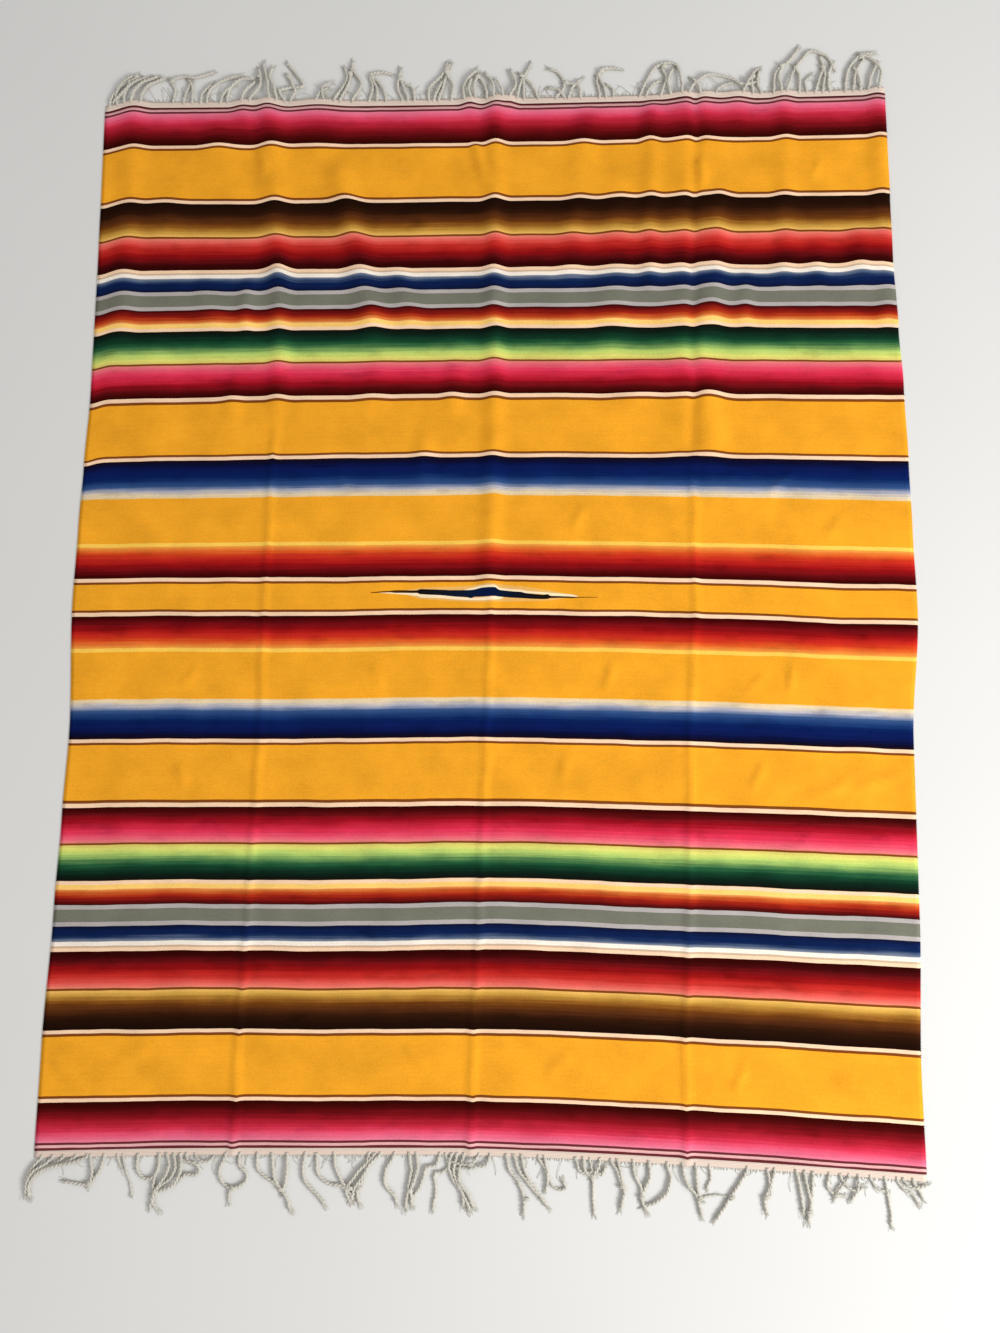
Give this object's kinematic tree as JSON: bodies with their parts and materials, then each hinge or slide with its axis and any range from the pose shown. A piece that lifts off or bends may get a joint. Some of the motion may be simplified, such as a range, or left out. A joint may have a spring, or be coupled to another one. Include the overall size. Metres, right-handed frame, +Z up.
{
  "type": "mexican serape",
  "caption": "Hand-loomed striped blanket laid out flat, with soft storage folds and a knotted fringe at both ends.",
  "frame": {"origin": "under the middle of the whole serape, on the surface that it lies on", "axes": "+Z up, +Y along the length towards the far fringe, +X along the stripes to the right"},
  "size_m": [1.5535, 2.1601, 0.0134],
  "materials": {
    "woven_stripes": "matt weft-faced weave, marigold ground with shaded stripes in many colours",
    "cream_cotton": "matt plain cream cotton rows",
    "cotton_cord": "matt off-white twisted cotton cord"
  },
  "bodies": {
    "root": {"body": "woven_stripes", "end_rows_far": "cream_cotton", "end_rows_near": "cream_cotton", "fringe_far": "cotton_cord", "fringe_near": "cotton_cord"}
  },
  "joints": []
}
